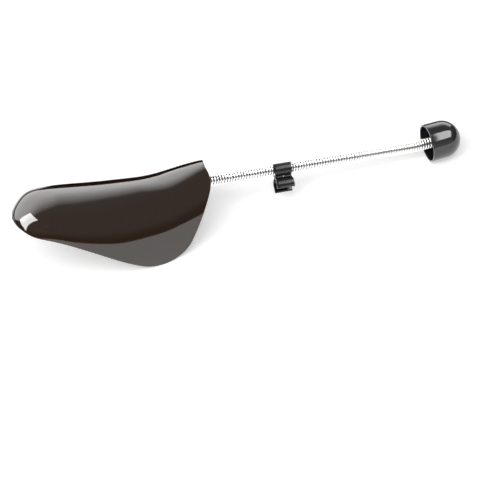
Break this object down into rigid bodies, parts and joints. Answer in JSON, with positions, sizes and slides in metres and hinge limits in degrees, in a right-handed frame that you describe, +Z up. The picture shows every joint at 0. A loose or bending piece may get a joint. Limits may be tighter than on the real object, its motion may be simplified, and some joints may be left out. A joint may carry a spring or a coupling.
{
  "type": "spring shoe stretcher",
  "caption": "Spring shoe stretcher: a hollow forefoot shell and a domed heel cap joined by a long bending coil spring that carries a sliding double clip for its pair.",
  "frame": {"origin": "on the table under the middle of the stretcher, halfway between toe and heel", "axes": "+X from the toe to the heel, +Z up, at rest on a table on the two low points of the shell's flanges and on the heel cap"},
  "size_m": [0.3501, 0.076, 0.06],
  "materials": {
    "shell_plastic": "glossy moulded black",
    "spring_steel": "bright plated wire",
    "core_plastic": "plain moulded",
    "screw_steel": "zinc plated",
    "clip_plastic": "satin to glossy moulded black"
  },
  "bodies": {
    "toe": {"toe_shell": "shell_plastic", "coil_spring": "spring_steel", "toe_plug": "core_plastic", "toe_screw": "screw_steel"},
    "heel": {"heel_cap": "shell_plastic", "heel_plug": "core_plastic"},
    "clip": {"pair_clip": "clip_plastic"}
  },
  "joints": [
    {"name": "spring_bend", "type": "hinge", "parent": "toe", "child": "heel", "pos_m": [0.09481, 0, 0.021], "axis": [0, 1, 0], "range_deg": [-40, 110], "stiffness_Nm_per_rad": 0.4, "deforming": ["coil_spring"]},
    {"name": "clip_slide", "type": "slide", "parent": "toe", "child": "clip", "axis": [0.9918, 0, -0.128], "range_m": [-0.045, 0.008]}
  ]
}
